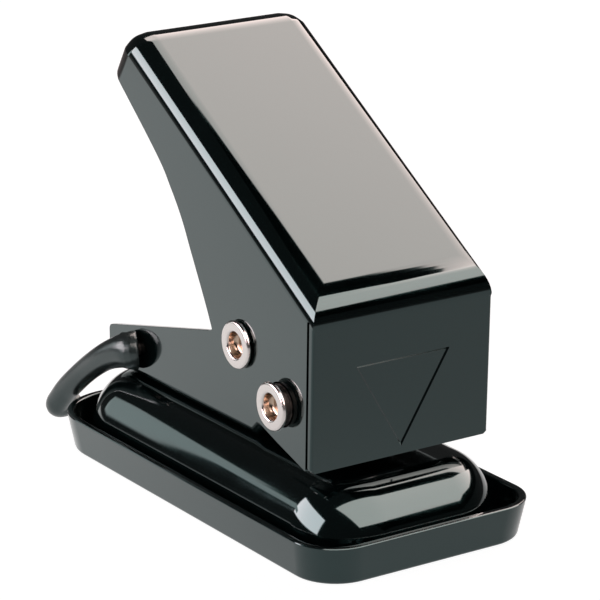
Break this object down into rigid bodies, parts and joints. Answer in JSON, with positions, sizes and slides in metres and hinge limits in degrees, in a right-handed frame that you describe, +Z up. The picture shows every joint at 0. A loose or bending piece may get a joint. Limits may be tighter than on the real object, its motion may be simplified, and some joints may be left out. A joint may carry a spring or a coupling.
{
  "type": "single hole punch",
  "caption": "Desk hole punch: a bent steel lever pivots on a riveted bracket over a domed base and drives a sprung pin down into a die above a chip tray.",
  "frame": {"origin": "middle of the chip tray's flat underside, on the desk", "axes": "+Z up from the desk, +Y from the paper throat at the front to the raised end of the lever at the rear, +X to the right seen from the front"},
  "size_m": [0.05, 0.104, 0.0862],
  "materials": {
    "black_gloss": "gloss black stoved enamel on pressed steel",
    "tray_plastic": "matt black moulded plastic",
    "catch_plastic": "satin black moulded plastic",
    "nickel": "bright nickel plate, warm",
    "bright_steel": "turned bright steel",
    "spring_steel": "oiled spring wire"
  },
  "bodies": {
    "tray": {"chip_tray": "tray_plastic"},
    "body": {"base_plate": "black_gloss", "frame_bracket": "black_gloss", "die_bush": "bright_steel", "guide_bush": "bright_steel", "bracket_rivet_front_left": "nickel", "bracket_rivet_front_right": "nickel", "bracket_rivet_rear_left": "nickel", "bracket_rivet_rear_right": "nickel", "pivot_rivet": "nickel", "pivot_sleeve_left": "bright_steel", "pivot_sleeve_right": "bright_steel", "pivot_spacer_left": "bright_steel", "pivot_spacer_right": "bright_steel", "catch_stud": "nickel", "catch_washer": "nickel"},
    "lever": {"lever_shell": "black_gloss", "drive_rivet": "nickel", "drive_roller": "bright_steel", "drive_spacer_left": "bright_steel", "drive_spacer_right": "bright_steel"},
    "punch": {"punch_pin": "bright_steel", "punch_clip": "spring_steel", "spring_cap": "bright_steel", "return_spring": "spring_steel"},
    "catch": {"tray_catch": "catch_plastic"}
  },
  "joints": [
    {"name": "tray_release", "type": "slide", "parent": "tray", "child": "body", "axis": [0, 0, 1], "range_m": [0, 0.015]},
    {"name": "lever_press", "type": "hinge", "parent": "body", "child": "lever", "pos_m": [0, -0.02815, 0.0284], "axis": [-1, 0, 0], "range_deg": [0, 18], "stiffness_Nm_per_rad": 0.09, "springref_deg": -34.38},
    {"name": "punch_slide", "type": "slide", "parent": "body", "child": "punch", "axis": [0, 0, -1], "range_m": [0, 0.0045], "deforming": ["return_spring"]},
    {"name": "catch_swing", "type": "hinge", "parent": "body", "child": "catch", "pos_m": [-0.0157, 0.03225, 0.0212], "axis": [1, 0, 0], "range_deg": [0, 100]}
  ],
  "couplings": [
    {"joint": "punch_slide", "follows": "lever_press", "m_per_rad": 0.01428}
  ]
}
